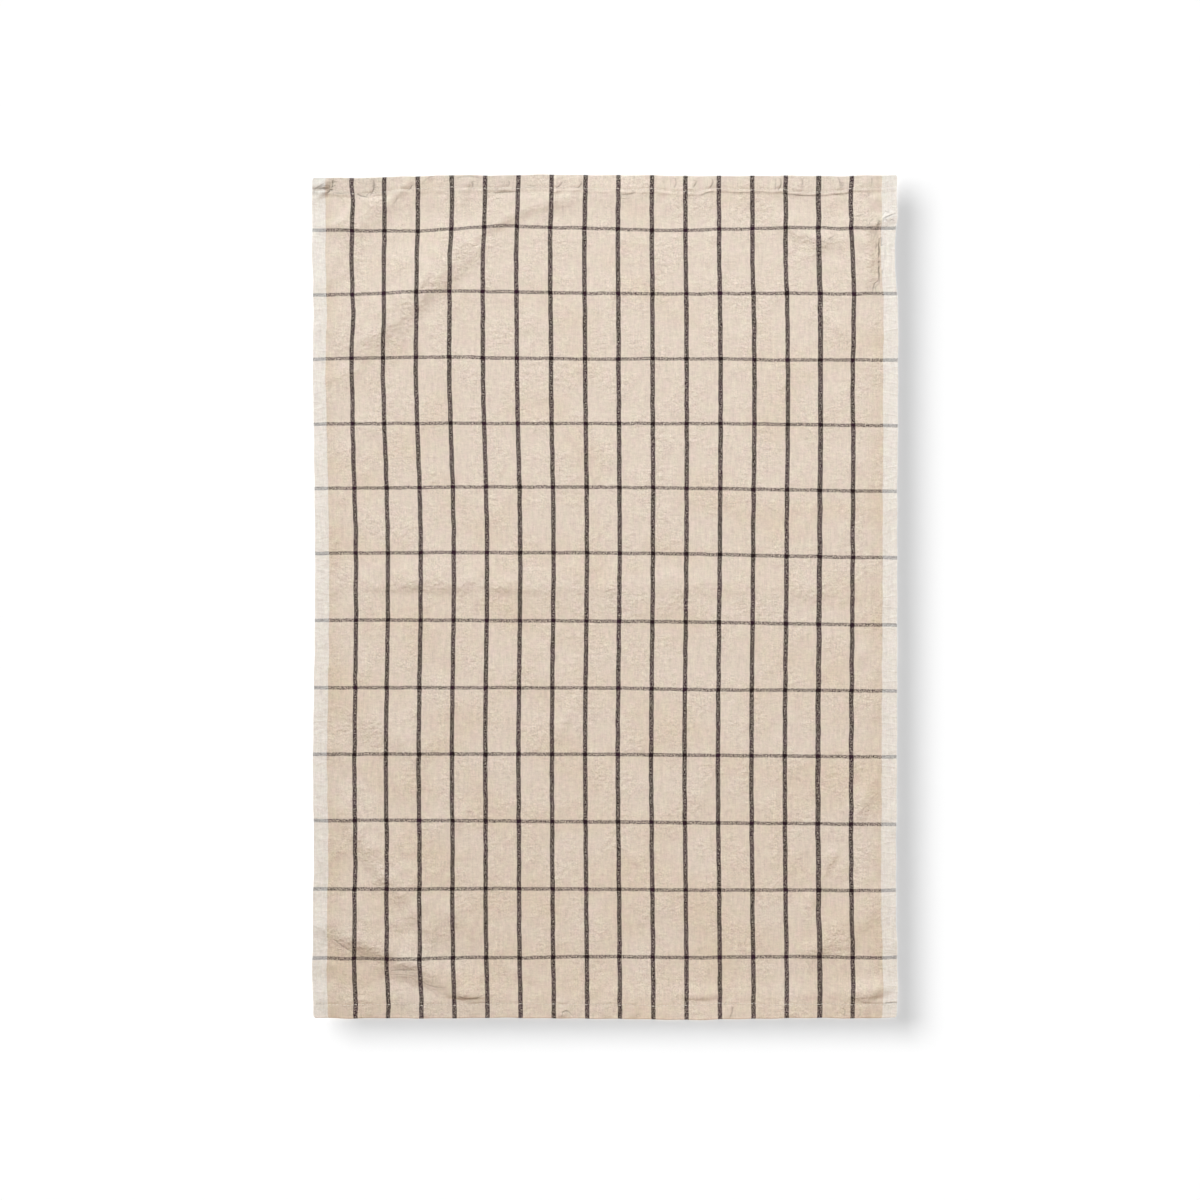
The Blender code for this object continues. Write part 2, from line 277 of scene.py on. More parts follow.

# %% [markdown]
# ## Creases
#
# The towel was washed, folded up and opened again. Each crease is a ridge along a line, a few tenths of a
# millimetre to a few millimetres high. A ridge has a long soft flank on the left of its line and a short
# steep one on the right, away from the light, which is what makes cloth look pressed and not rippled. The
# main ones are the folds of the solid, and the smaller ones join them, mostly near the corners and along
# the hems.

# %% The creases, one row each
# Seen from its start, bow is how far the middle of a line stands to the left.
Crease = namedtuple("Crease", "name start end bow soft steep height")
CREASES = [
    Crease("corner diagonal, low", (-0.212, 0.196), (-0.1, 0.305), 0.001, 0.06, 0.018, 0.0031),
    Crease("corner diagonal, high", (-0.127, 0.286), (-0.014, 0.34), 0.0085, 0.028, 0.007, 0.0015),
    Crease("corner diagonal, echo", (-0.196, 0.186), (-0.15, 0.232), 0.002, 0.012, 0.008, 0.0004),
    Crease("corner inner", (-0.2246, 0.2996), (-0.1766, 0.3406), 0.002, 0.026, 0.015, 0.0013),
    Crease("corner inner, branch", (-0.232, 0.306), (-0.204, 0.33), 0.002, 0.007, 0.005, 0.0006),
    Crease("corner dart", (-0.244, 0.316), (-0.214, 0.321), -0.003, 0.007, 0.005, 0.0007),
    Crease("middle fold", (-0.248, 0.0078), (0.092, 0.0062), 0.0, 0.026, 0.011, 0.0012),
    Crease("middle fold, fading", (0.04, 0.0055), (0.248, 0.004), 0.001, 0.02, 0.014, 0.0006),
    Crease("middle fold, pressed", (-0.235, 0.0032), (0.02, 0.0024), 0.0, 0.004, 0.004, 0.0002),
    Crease("under the middle fold", (-0.11, 0.001), (0.07, 0.0), -0.002, 0.01, 0.026, 0.0007),
    Crease("left edge tuck", (-0.24, 0.182), (-0.2, 0.192), -0.003, 0.009, 0.006, 0.0009),
    Crease("left edge tuck, upper", (-0.238, 0.262), (-0.208, 0.276), 0.002, 0.008, 0.005, 0.0006),
    Crease("upper left sag", (-0.2415, -0.0766), (-0.1445, -0.1406), -0.004, 0.045, 0.016, 0.001),
    Crease("lower left sag", (-0.236, -0.129), (-0.144, -0.179), -0.004, 0.03, 0.013, 0.0004),
    Crease("long lower bend", (-0.228, -0.17), (-0.137, -0.29), -0.006, 0.05, 0.012, 0.0029),
    Crease("long lower bend, end", (-0.135, -0.262), (-0.098, -0.287), -0.003, 0.016, 0.01, 0.0009),
    Crease("lower corner fold", (-0.248, -0.275), (-0.138, -0.3165), 0.001, 0.08, 0.01, 0.0034),
    Crease("low edge tuck", (-0.24, -0.304), (-0.212, -0.318), 0.001, 0.006, 0.005, 0.0006),
    Crease("low bend", (-0.094, -0.306), (-0.044, -0.326), -0.002, 0.012, 0.007, 0.0009),
    Crease("middle dimple, low", (-0.014, -0.082), (-0.046, -0.126), 0.002, 0.01, 0.008, 0.001),
    Crease("middle dimple, high", (-0.042, -0.06), (-0.014, -0.098), 0.002, 0.009, 0.008, 0.0005),
    Crease("upper right trough", (0.14, 0.32), (0.182, 0.2945), 0.002, 0.024, 0.008, 0.0011),
    Crease("upper right prop", (0.107, 0.276), (0.096, 0.32), 0.002, 0.008, 0.007, 0.0007),
    Crease("upper right prop, end", (0.174, 0.2925), (0.204, 0.3065), 0.001, 0.018, 0.007, 0.0012),
    Crease("selvedge tuck", (0.2225, 0.25), (0.221, 0.334), 0.0, 0.022, 0.0095, 0.0019),
    Crease("selvedge tuck, branch", (0.22, 0.3105), (0.246, 0.3235), 0.0, 0.008, 0.0032, 0.0014),
    Crease("right edge wave", (0.212, -0.193), (0.23, -0.151), 0.003, 0.014, 0.009, 0.001),
    Crease("right lower wave", (0.166, -0.276), (0.185, -0.24), 0.001, 0.016, 0.007, 0.0006),
    Crease("right lower wave, side", (0.18, -0.244), (0.1985, -0.21), 0.0, 0.012, 0.004, 0.001),
    Crease("right corner bend", (0.158, -0.301), (0.226, -0.256), -0.006, 0.032, 0.02, 0.0011),
    Crease("right corner bend, low", (0.156, -0.304), (0.198, -0.294), 0.002, 0.01, 0.006, 0.0006),
    Crease("waist, left", (-0.142, 0.066), (-0.15, 0.118), 0.002, 0.01, 0.009, 0.0004),
    Crease("waist, middle", (0.036, 0.072), (0.04, 0.128), 0.003, 0.01, 0.009, 0.0004),
    Crease("right slant, high", (0.17, 0.13), (0.196, 0.176), 0.002, 0.009, 0.007, 0.0004),
    Crease("right slant, middle", (0.15, 0.04), (0.184, 0.084), -0.002, 0.009, 0.008, 0.0004),
    Crease("right slant, low", (0.09, -0.116), (0.136, -0.074), 0.002, 0.01, 0.008, 0.0004),
]


def beside(row, x, y):
    """Where points are by a bowed line: the share of its length, and the distance to its left."""
    (x0, y0), (x1, y1) = row.start, row.end
    length = math.hypot(x1 - x0, y1 - y0)
    ux, uy = (x1 - x0) / length, (y1 - y0) / length
    share = ((x - x0) * ux + (y - y0) * uy) / length
    return share, (y - y0) * ux - (x - x0) * uy - row.bow * 4 * share * (1 - share)


def ridge(row, x, y):
    """Height of one crease over every point: a bowed line, a soft bell across it, and ends that run out."""
    share, aside = beside(row, x, y)
    flank = np.where(aside > 0, row.soft, row.steep)
    run_out = np.sin(math.pi * np.clip(share, 0.0, 1.0)) ** 0.7
    return row.height * run_out * np.cos(math.pi / 2 * np.clip(aside / flank, -1.0, 1.0)) ** 2


print(len(CREASES), "creases; the highest is the", max(CREASES, key=lambda row: row.height).name)

# %% [markdown]
# ## Crinkles, swells, puckers and pressed lines
#
# Between the main creases the cotton is crinkled all over, as it dries after a wash. Hundreds of short
# shallow ridges do that, drawn from a seeded list, so that they come out the same each time. Under them the
# cloth swells softly off the table in places. The stitches draw a hem together along its length, and the
# cloth between them answers with puckers across the hem, listed one by one. A few creases run over the
# hems too.
#
# The sharpest creases of all are pressed lines, thinner than a cell of the mesh. They get a place and a
# sharpness here, and the finish draws them as a dent in the bump and a painted shade.

# %% Puckers and creases on the hems
# A pucker starts from the folded edge at x and has leaned over to the left by lean at the hem's inner edge.
Pucker = namedtuple("Pucker", "x lean reach height")
TOP_PUCKERS = [
    Pucker(-0.231, 0.005, 0.0055, 0.0016), Pucker(-0.196, 0.001, 0.004, 0.001),
    Pucker(-0.175, -0.001, 0.0044, 0.0005), Pucker(-0.163, 0.004, 0.0044, 0.0012),
    Pucker(-0.137, 0.0, 0.0049, 0.0004), Pucker(-0.1135, 0.0005, 0.0037, 0.0011),
    Pucker(-0.082, -0.002, 0.0049, 0.0008), Pucker(-0.037, 0.0015, 0.0042, 0.0012),
    Pucker(-0.0205, 0.003, 0.0044, 0.0008), Pucker(0.02, -0.001, 0.0054, 0.0004),
    Pucker(0.05, 0.0005, 0.004, 0.0009), Pucker(0.06, 0.001, 0.0037, 0.0006),
    Pucker(0.0765, 0.003, 0.0044, 0.001), Pucker(0.0905, 0.0005, 0.004, 0.001),
    Pucker(0.119, -0.002, 0.0049, 0.0004), Pucker(0.1475, 0.0, 0.0037, 0.0012),
    Pucker(0.1655, 0.001, 0.004, 0.0011), Pucker(0.1975, -0.003, 0.0042, 0.0012),
    Pucker(0.223, 0.001, 0.0049, 0.0006),
]
BOTTOM_PUCKERS = [
    Pucker(-0.228, 0.001, 0.0054, 0.0006), Pucker(-0.1975, 0.0005, 0.0042, 0.0008),
    Pucker(-0.154, -0.002, 0.0049, 0.0005), Pucker(-0.11, 0.001, 0.0044, 0.0006),
    Pucker(-0.072, 0.0, 0.0049, 0.0005), Pucker(-0.033, 0.003, 0.0042, 0.0013),
    Pucker(0.001, -0.001, 0.0049, 0.0005), Pucker(0.0245, 0.0005, 0.0042, 0.001),
    Pucker(0.051, 0.001, 0.0049, 0.0005), Pucker(0.1055, -0.003, 0.0042, 0.001),
    Pucker(0.133, 0.001, 0.0054, 0.0005), Pucker(0.158, 0.0, 0.004, 0.0008),
    Pucker(0.19, 0.002, 0.0049, 0.0006), Pucker(0.22, -0.001, 0.0044, 0.0008),
]
HEM_CREASES = [
    Crease("corner crumple", (-0.248, 0.3462), (-0.233, 0.3508), 0.0, 0.007, 0.0042, 0.0015),
    Crease("corner crumple, side", (-0.2325, 0.3385), (-0.2318, 0.356), 0.001, 0.004, 0.003, 0.002),
    Crease("corner crumple, low", (-0.23, 0.3408), (-0.212, 0.3395), 0.001, 0.004, 0.0025, 0.0006),
    Crease("hem crumple, left", (-0.211, 0.339), (-0.1935, 0.3382), -0.002, 0.0045, 0.0025, 0.0008),
    Crease("corner inner, over the hem", (-0.184, 0.327), (-0.1605, 0.3515), 0.001, 0.006, 0.0026, 0.0011),
    Crease("hem crumple, fourth stripe", (-0.153, 0.348), (-0.143, 0.3545), 0.001, 0.004, 0.0025, 0.0007),
    Crease("hem crumple, fifth stripe", (-0.114, 0.343), (-0.1105, 0.353), -0.001, 0.006, 0.0026, 0.0009),
    Crease("low hem crumple, left", (-0.22, -0.342), (-0.198, -0.34), 0.001, 0.004, 0.003, 0.0005),
    Crease("lower corner fold, hem", (-0.139, -0.335), (-0.096, -0.3365), -0.001, 0.006, 0.0028, 0.0014),
    Crease("low hem fold", (0.056, -0.335), (0.102, -0.3345), -0.001, 0.01, 0.004, 0.0013),
    Crease("lower corner fold, low", (-0.198, -0.306), (-0.094, -0.342), 0.002, 0.028, 0.0105, 0.0028),
    Crease("right hem fold", (0.206, -0.3375), (0.242, -0.329), 0.0, 0.016, 0.0075, 0.0026),
    Crease("low hem crumple, right", (0.214, -0.34), (0.236, -0.343), 0.001, 0.004, 0.003, 0.0006),
]
PUCKER_RISE = 0.002         # a pucker rises over this distance from the folded edge,
PUCKER_PAST = 0.006         # ends this far past the hem's inner edge,
PUCKER_FALL = 0.008         # and falls over this distance before that


def pucker_height(puckers, x, y):
    """Height of one hem's puckers: each bends over from the folded edge to just past the hem's inner edge."""
    inward = HALF_LENGTH - np.abs(y)
    run = smooth_step(inward / PUCKER_RISE) * smooth_step((HEM_DEPTH + PUCKER_PAST - inward) / PUCKER_FALL)
    total = np.zeros(np.shape(x))
    for pucker in puckers:
        aside = x - pucker.x + pucker.lean * (inward / HEM_DEPTH) ** 2
        flank = np.where(aside < 0, 1.7 * pucker.reach, 0.6 * pucker.reach)
        total += pucker.height * np.cos(math.pi / 2 * np.clip(aside / flank, -1.0, 1.0)) ** 2
    return run * total


print(len(TOP_PUCKERS) + len(BOTTOM_PUCKERS), "puckers and", len(HEM_CREASES), "creases on the hems")

# %% Pressed lines
# The sharper a line is, the darker the shade painted along it.
Line = namedtuple("Line", "name start end bow sharp")
LINES = [
    Line("corner, hook", (-0.2273, 0.3538), (-0.2325, 0.3421), 0.0025, 2.2),
    Line("corner, over the selvedge", (-0.2453, 0.3446), (-0.234, 0.3509), -0.0002, 1.0),
    Line("corner, low over the selvedge", (-0.2398, 0.3454), (-0.2306, 0.3463), 0.0004, 1.0),
    Line("corner, to the first stripe", (-0.2278, 0.3424), (-0.2128, 0.3426), -0.0004, 0.9),
    Line("second cell, foot", (-0.2078, 0.3419), (-0.1971, 0.3387), -0.0005, 1.5),
    Line("second cell, hook", (-0.1925, 0.3539), (-0.1964, 0.3395), 0.0024, 1.3),
    Line("third cell, slant", (-0.1772, 0.3319), (-0.1714, 0.3384), -0.0004, 0.6),
    Line("third cell, hook", (-0.1595, 0.3497), (-0.1632, 0.3435), 0.0008, 1.2),
    Line("fourth cell, arch", (-0.1525, 0.3483), (-0.1369, 0.3547), 0.0023, 0.5),
    Line("fifth cell, edge", (-0.1249, 0.3521), (-0.102, 0.3525), 0.0015, 0.6),
    Line("fifth cell, hook", (-0.1105, 0.3504), (-0.1102, 0.3439), 0.0009, 1.0),
    Line("sixth cell, seam", (-0.0933, 0.3403), (-0.0721, 0.341), -0.0004, 1.0),
    Line("sixth cell, below", (-0.0903, 0.336), (-0.0931, 0.3315), 0.0, 0.4),
    Line("sixth cell, hook", (-0.0803, 0.351), (-0.0801, 0.345), 0.0019, 0.8),
    Line("seventh cell, flat hook", (-0.0664, 0.3488), (-0.0545, 0.3466), -0.0024, 0.6),
    Line("eighth cell, hook", (-0.0335, 0.3533), (-0.0405, 0.3438), 0.0024, 1.0),
    Line("eighth cell, short hook", (-0.0178, 0.3501), (-0.0219, 0.3436), 0.0012, 1.1),
    Line("tenth cell, seam", (0.0141, 0.3391), (0.0269, 0.3408), -0.0004, 0.8),
    Line("tenth cell, pleat", (0.0257, 0.3548), (0.026, 0.3494), 0.0, 0.4),
    Line("eleventh cell, small", (0.0511, 0.3521), (0.0503, 0.3478), 0.0, 0.4),
    Line("eleventh cell, hook", (0.0599, 0.3535), (0.0595, 0.3448), 0.0014, 1.0),
    Line("twelfth cell, slant", (0.0783, 0.3519), (0.0749, 0.3446), 0.0007, 0.9),
    Line("twelfth cell, hook", (0.091, 0.3531), (0.0875, 0.344), 0.0025, 1.2),
    Line("twelfth cell, seam", (0.0814, 0.3391), (0.0933, 0.3418), 0.0008, 0.9),
    Line("thirteenth cell, pleat", (0.1124, 0.3505), (0.1128, 0.3454), 0.0, 0.4),
    Line("fourteenth cell, hook", (0.1481, 0.3535), (0.1458, 0.3419), 0.0023, 1.2),
    Line("fifteenth cell, pleat", (0.1664, 0.3532), (0.1661, 0.3458), 0.0011, 0.7),
    Line("sixteenth cell, vee", (0.1965, 0.3548), (0.1996, 0.346), 0.0005, 0.9),
    Line("sixteenth cell, vee side", (0.2029, 0.3491), (0.1992, 0.3447), 0.0, 0.7),
    Line("thirteenth cell, seam", (0.103, 0.341), (0.142, 0.3413), 0.0002, 0.5),
    Line("fifteenth cell, seam", (0.148, 0.34), (0.185, 0.3384), -0.0006, 0.9),
    Line("sixteenth cell, seam", (0.185, 0.3386), (0.209, 0.3408), 0.0, 0.7),
    Line("last cell, pleat", (0.2244, 0.3541), (0.225, 0.3457), 0.0009, 0.6),
    Line("last cell, slant", (0.2204, 0.3434), (0.2257, 0.3343), 0.0001, 0.7),
    Line("last cell, low", (0.2122, 0.3206), (0.2213, 0.3242), -0.0005, 0.8),
    Line("selvedge tuck, line", (0.2323, 0.3052), (0.2307, 0.2637), 0.0003, 1.9),
    Line("selvedge tuck, foot", (0.2276, 0.2655), (0.2244, 0.2564), -0.0005, 1.2),
    Line("selvedge tuck, top", (0.2305, 0.3206), (0.2306, 0.3102), 0.0003, 1.3),
    Line("selvedge tuck, below the stripe", (0.2302, 0.3102), (0.2283, 0.2939), -0.0013, 0.9),
    Line("selvedge tuck, arc", (0.2262, 0.3185), (0.2334, 0.3207), 0.0019, 1.2),
    Line("selvedge tuck, end", (0.2338, 0.3189), (0.244, 0.3233), 0.0003, 1.4),
    Line("selvedge tuck, slant", (0.2215, 0.3129), (0.2256, 0.3171), 0.0, 0.7),
    Line("vee crease, left", (0.1662, 0.3093), (0.1806, 0.2989), -0.0016, 0.6),
    Line("vee crease, right", (0.1821, 0.2983), (0.1953, 0.3059), -0.0006, 0.9),
    Line("low corner, first", (-0.2297, -0.2873), (-0.2126, -0.298), -0.0005, 0.8),
    Line("low corner, second", (-0.2126, -0.298), (-0.1906, -0.3058), -0.0012, 0.6),
    Line("low corner, squiggle", (-0.1815, -0.3138), (-0.1605, -0.3125), 0.0001, 0.9),
    Line("low corner, third", (-0.1584, -0.319), (-0.1343, -0.3288), -0.0031, 0.6),
    Line("low corner, hook", (-0.1254, -0.3354), (-0.1011, -0.3353), -0.0036, 1.0),
    Line("low hem, crumple", (-0.0376, -0.3526), (-0.0278, -0.3524), 0.0037, 1.2),
    Line("low hem, small crumple", (0.0256, -0.353), (0.03, -0.351), 0.0006, 0.8),
    Line("low hem, slanting pleat", (0.1078, -0.3441), (0.105, -0.3548), 0.0006, 1.0),
    Line("low hem, pleat on the seam", (0.1, -0.3443), (0.1026, -0.3402), 0.0, 0.6),
    Line("low hem, right pleat", (0.2022, -0.347), (0.2008, -0.354), 0.0004, 0.7),
    Line("low hem, last pleat", (0.2155, -0.35), (0.2128, -0.3548), 0.0004, 0.6),
    Line("low hem, at the left selvedge", (-0.2455, -0.3435), (-0.2345, -0.3436), 0.0001, 0.6),
    Line("low hem, at the right selvedge", (0.235, -0.343), (0.247, -0.3427), 0.0001, 1.1),
]
LINE_REACH = 0.0055         # how far from a line the cloth still knows about it
LINE_FULL = 0.0035          # up to here the line keeps its whole sharpness
print(len(LINES), "pressed lines; the sharpest is the", max(LINES, key=lambda row: row.sharp).name)

# %% Crinkles
CRINKLES = 420
CRINKLE_SEED = 8
CRINKLE_LENGTH = (0.012, 0.034)
CRINKLE_REACH = (0.0042, 0.0080)
CRINKLE_BOW = (-0.002, 0.002)
CRINKLE_HEIGHT = (0.00015, 0.00055)
CRINKLED_CREASES = 30       # the first rows of CREASES, which crinkles gather beside


def make_crinkles():
    """Short shallow ridges: a third anywhere, a third near the selvedges, a third beside the main creases."""
    draw = random.Random(CRINKLE_SEED)
    made = []
    for number in range(CRINKLES):
        x, y = draw.uniform(-HALF_WIDTH, HALF_WIDTH), draw.uniform(-INNER_EDGE, INNER_EDGE)
        angle = draw.gauss(math.radians(55), math.radians(45))
        if number % 3 == 1:
            x = math.copysign(HALF_WIDTH - abs(draw.gauss(0, 0.035)), x)
        if number % 3 == 2:
            crease = draw.choice(CREASES[:CRINKLED_CREASES])
            (x0, y0), (x1, y1) = crease.start, crease.end
            share = draw.uniform(0, 1)
            x = x0 + share * (x1 - x0) + draw.gauss(0, 0.008)
            y = y0 + share * (y1 - y0) + draw.gauss(0, 0.008)
            angle = math.atan2(y1 - y0, x1 - x0) + draw.gauss(0, math.radians(35))
        length, reach = draw.uniform(*CRINKLE_LENGTH), draw.uniform(*CRINKLE_REACH)
        dx, dy = length * math.cos(angle) / 2, length * math.sin(angle) / 2
        bow, height = draw.uniform(*CRINKLE_BOW), draw.uniform(*CRINKLE_HEIGHT)
        made.append(Crease("crinkle", (x - dx, y - dy), (x + dx, y + dy), bow, reach * 1.3, reach, height))
    return made


crinkles = make_crinkles()
print(len(crinkles), "crinkles")

# %% [markdown]
# ## From a place on the towel to a height over the table
#
# One function gives the height of the middle of the cloth everywhere. Next to a hem the cloth comes down
# from three layers to one. Part of that drop is sudden and the rest is easy, and the share differs along
# the hem: where much of it is sudden, a thin line of shade shows. The hem's layers are a little apart, and
# the stitches press them together. Creases lift only the face.

# %% Depth of the hems and the drop beside them
# How much deeper than HEM_DEPTH a hem was turned, along its length.
TOP_TURN = edge_list(
    (-0.246, -0.0018), (-0.224, -0.0005), (-0.202, 0.002), (-0.19, 0.001), (-0.17, -0.0012),
    (-0.14, -0.0014), (-0.088, -0.001), (0.045, 0.0), (0.066, 0.0015), (0.078, 0.0015), (0.093, -0.0015),
    (0.12, -0.0002), (0.149, -0.0002), (0.162, 0.002), (0.178, 0.0024), (0.196, 0.0008), (0.209, -0.001),
    (0.246, -0.002),
)
BOTTOM_TURN = edge_list(
    (-0.246, 0.0), (-0.15, -0.0002), (-0.11, 0.0), (-0.05, 0.0002), (0.03, -0.0002), (0.1, 0.0012),
    (0.15, 0.0), (0.246, -0.0002),
)
# The share of the drop beside a hem that is sudden, along its length.
TOP_STEP = edge_list(
    (-0.246, 0.16), (-0.19, 0.32), (-0.175, 0.06), (-0.112, 0.08), (-0.1, 0.45), (-0.078, 0.4),
    (-0.068, 0.12), (0.01, 0.22), (0.04, 0.36), (0.1, 0.42), (0.2, 0.5), (0.246, 0.2),
)
BOTTOM_STEP = edge_list(
    (-0.246, 0.02), (-0.09, 0.06), (0.06, 0.02), (0.246, 0.05),
)
STEP_RUN = 0.0013           # the sudden part of the drop
EASY_RUN = 0.0200           # the rest


def turned_deeper(x, y):
    """How much deeper than HEM_DEPTH the hem was turned, along its length."""
    by_hand = np.where(y > 0, along_edge(TOP_TURN, x), along_edge(BOTTOM_TURN, x))
    return by_hand + 0.0003 * np.sin(x * 411) + 0.0002 * np.sin(x * 190 + y * 9)


deepest = HEM_DEPTH + max(point.out for point in TOP_TURN)
print("the top hem is up to", round(deepest * 1000, 1), "mm deep")

# %% Relief of the open cloth
SWELL = 0.0006              # height of the soft swells
LINE_WANDER = 0.0013        # how far a crease wanders off its line
UNEVEN = 0.35               # how much its height varies


def waver(x, y, pace, place):
    """Smooth noise between about -1 and 1, the same each time, with about pace waves in a metre."""
    return np.array([noise.noise(Vector((a * pace, b * pace, place))) for a, b in zip(x, y)])


def swell(x, y):
    """Soft unevenness, a few centimetres across."""
    return SWELL * np.clip(waver(x, y, 12, 0.3) + 0.5 * waver(x, y, 29, 4.7) + 0.15, 0.0, None)


def relief(x, y):
    """How far creases, crinkles and swells lift the face, before the hems hold it down."""
    height = swell(x, y)
    bent_x = x + LINE_WANDER * waver(x, y, 55, 0.0)
    bent_y = y + LINE_WANDER * waver(x, y, 55, 7.0)
    for row in CREASES + crinkles:
        height = height + ridge(row, bent_x, bent_y)
    return height * (1 + UNEVEN * waver(x, y, 90, 3.0))


print(len(CREASES) + len(crinkles), "ridges lift the open cloth")

# %% Height of the cloth
RELIEF_FADE = 0.007         # creases of the open cloth fade out this close to a hem
SEAM_HOLD = 0.6             # how much of a pucker the stitches hold down


def cloth_height(x, y, layer):
    """Height of the middle of the cloth over the table, for points of the towel in a layer of its hems."""
    inward = HALF_LENGTH - np.abs(y)
    sudden = np.where(y > 0, along_edge(TOP_STEP, x), along_edge(BOTTOM_STEP, x))
    deeper = turned_deeper(x, y)
    past_hem = inward - HEM_DEPTH - deeper
    on_hem = sudden * smooth_step(1 - past_hem / STEP_RUN)
    on_hem = on_hem + (1 - sudden) * smooth_step(1 - past_hem / EASY_RUN)
    seam = np.cos(math.pi / 2 * np.clip((inward - SEAM_IN - deeper) / SEAM_PULL, -1, 1)) ** 2
    air = HEM_AIR + (PRESSED_AIR - HEM_AIR) * seam * np.clip(0.3 + 1.6 * sudden, 0.0, 1.0)
    free = smooth_step((inward - HEM_DEPTH) / RELIEF_FADE)
    puckers = np.where(y > 0, pucker_height(TOP_PUCKERS, x, y), pucker_height(BOTTOM_PUCKERS, x, y))
    for row in HEM_CREASES:
        puckers = puckers + ridge(row, x, y)
    face = np.clip(layer - 1, 0, 1)
    lifted = free * relief(x, y) + (1 - SEAM_HOLD * seam) * puckers
    return CLOTH / 2 + layer * (CLOTH + air) * on_hem + face * lifted


print("a hem stands", round((3 * CLOTH + 2 * HEM_AIR) * 1000, 2), "mm over the table")

# %% [markdown]
# ## Laying the cloth
#
# The cloth starts as one flat grid, made by Blender's own operator, and each of its points is moved to
# where it lies. The layers below the face are stretched where the hem was turned deeper. Solidify gives the
# sheet its thickness, and its rim is kept sharp, so that the shading of the face runs flat to the edge.
#
# Three UV maps tell the finish what it has to know about a point. The first is its place on the cut cloth,
# in metres. The second says how crumpled the cloth is there, and how much painted shade the face of a hem
# gets, with painted light where that is negative. The third says how far the nearest pressed line is, and
# how sharp, which sets the shade painted along it.

# %% What the finish has to know
# How much painted shade the face of a hem gets, along its length; a negative value is painted light.
TOP_HEM_PAINTED_SHADE = edge_list(
    (-0.246, 0.13), (-0.234, 0.11), (-0.222, 0.05), (-0.195, 0.08), (-0.165, 0.04), (-0.14, 0.03),
    (-0.113, 0.05), (-0.084, 0.09), (-0.06, 0.01), (0.0, -0.04), (0.05, -0.02), (0.11, 0.02), (0.246, 0.03),
)
BOTTOM_HEM_PAINTED_SHADE = edge_list(
    (-0.246, 0.01), (-0.19, 0.02), (-0.165, 0.05), (-0.13, 0.04), (-0.06, 0.0), (0.0, 0.02), (0.03, -0.03),
    (0.145, -0.03), (0.17, 0.01), (0.246, 0.01),
)
HEM_SHADE_RUN = 0.002            # the hem's painted shade comes in over this distance before its inner edge
TOP_RIM_PAINTED_SHADE = 0.12              # painted shade, darker still, on the top hem's folded edge, where the lamps light the round fold
TOP_RIM_SHADE_REACH = 0.0034      # and how far in that reaches
BOTTOM_RIM_PAINTED_LIGHT = -0.26          # painted light on the bottom hem's folded edge, which faces away from the lamps
BOTTOM_RIM_LIGHT_REACH = 0.0022
CRUMPLED_HEIGHT = 0.0015    # beside a crease this high the cloth is crumpled all through
ON_THE_FACE = 1.9           # points in a higher layer than this are on the face


def creased(x, y):
    """How crumpled the cloth is, from 0 to 1: most beside the main creases."""
    total = np.zeros(len(x))
    for row in CREASES:
        share = min(1.0, row.height / CRUMPLED_HEIGHT)
        wide = row._replace(soft=row.steep * 0.6, steep=row.steep * 1.3, height=share)
        total = np.maximum(total, ridge(wide, x, y))
    return total


def pressed_lines(x, y):
    """The signed distance, in millimetres, to the nearest pressed line, and how sharp that line is there."""
    nearest, sharp = np.full(len(x), LINE_REACH), np.zeros(len(x))
    for row in LINES:
        share, aside = beside(row, x, y)
        run_out = np.sin(math.pi * np.clip(share, 0.0, 1.0)) ** 0.4
        closer = (run_out > 0) & (np.abs(aside) < np.abs(nearest))
        fade = smooth_step((LINE_REACH - np.abs(aside)) / (LINE_REACH - LINE_FULL))
        nearest = np.where(closer, aside, nearest)
        sharp = np.where(closer, row.sharp * run_out * fade, sharp)
    return nearest * 1000, sharp


def painted_hem_shade(x, y, cut):
    """Painted shade on the face of a hem, from its tables and rims, with painted light where they are
    negative.
    """
    on_hem = smooth_step((np.abs(cut) - INNER_EDGE + HEM_SHADE_RUN) / HEM_SHADE_RUN)
    tone = np.where(y > 0, along_edge(TOP_HEM_PAINTED_SHADE, x), along_edge(BOTTOM_HEM_PAINTED_SHADE, x))
    inward = HALF_LENGTH - np.abs(y)
    top_rim_shade = TOP_RIM_PAINTED_SHADE * smooth_step(1 - inward / TOP_RIM_SHADE_REACH)
    bottom_rim_light = BOTTOM_RIM_PAINTED_LIGHT * smooth_step(1 - inward / BOTTOM_RIM_LIGHT_REACH)
    return on_hem * (tone + np.where(y > 0, top_rim_shade, bottom_rim_light))


print("the bottom hem's edge is", round(-BOTTOM_RIM_PAINTED_LIGHT * 100), "percent paler")

# %% The flat grid
COLUMNS = round(WIDTH / ACROSS_CELL)


def flat_grid():
    """A grid with one row of points for each row of the section, one unit square."""
    bm = bmesh.new()
    bmesh.ops.create_grid(bm, x_segments=COLUMNS, y_segments=len(rows) - 1, size=0.5)
    mesh = bpy.data.meshes.new("cloth")
    bm.to_mesh(mesh)
    bm.free()
    return mesh


def point_array(mesh):
    flat = np.empty(len(mesh.vertices) * 3)
    mesh.vertices.foreach_get("co", flat)
    return flat.reshape(-1, 3)


print("the grid has", COLUMNS, "by", len(rows) - 1, "cells")

# %% The cloth, laid and thickened


